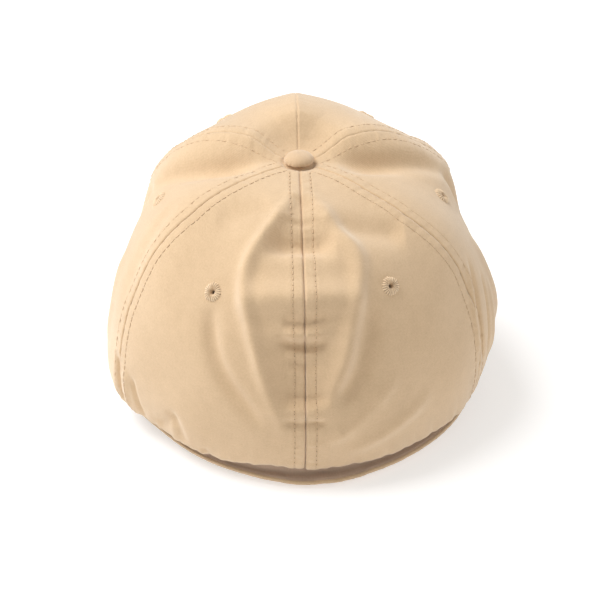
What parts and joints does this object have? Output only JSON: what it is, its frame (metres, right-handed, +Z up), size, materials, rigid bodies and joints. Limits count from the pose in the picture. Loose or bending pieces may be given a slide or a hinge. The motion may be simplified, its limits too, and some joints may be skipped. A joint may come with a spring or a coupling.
{
  "type": "baseball cap",
  "caption": "Six-panel cloth cap with a structured front, covered button, stitched eyelets, closed stretch back and a curved stiff visor, standing upright on a table.",
  "frame": {"origin": "on the table plane, straight below the button", "axes": "+Z up; the visor points towards -Y and the closed back towards +Y; the wearer's left is +X"},
  "size_m": [0.1854, 0.2699, 0.1295],
  "materials": {
    "crown_twill": "brushed cotton twill",
    "visor_twill": "brushed cotton twill",
    "button_twill": "brushed cotton twill",
    "eyelet_thread": "satin embroidery thread",
    "seam_tape": "plain woven cotton tape",
    "sweatband_cloth": "fine twill",
    "elastic_band": "ribbed woven elastic",
    "buckram_mesh": "stiffened open weave",
    "visor_board": "moulded sheet",
    "button_metal": "stamped"
  },
  "bodies": {
    "root": {"front_left_panel": "crown_twill", "front_right_panel": "crown_twill", "side_left_panel": "crown_twill", "side_right_panel": "crown_twill", "back_left_panel": "crown_twill", "back_right_panel": "crown_twill", "front_left_buckram": "buckram_mesh", "front_right_buckram": "buckram_mesh", "front_left_seam_tape": "seam_tape", "front_right_seam_tape": "seam_tape", "back_left_seam_tape": "seam_tape", "back_right_seam_tape": "seam_tape", "centre_seam_tape": "seam_tape", "eyelet_front_left": "eyelet_thread", "eyelet_front_right": "eyelet_thread", "eyelet_side_left": "eyelet_thread", "eyelet_side_right": "eyelet_thread", "eyelet_back_left": "eyelet_thread", "eyelet_back_right": "eyelet_thread", "visor_board": "visor_board", "visor_top_cover": "visor_twill", "visor_under_cover": "visor_twill", "sweatband_facing": "sweatband_cloth", "sweatband_elastic": "elastic_band", "button_cover": "button_twill", "button_shell": "button_metal", "button_washer": "button_metal"}
  },
  "joints": []
}
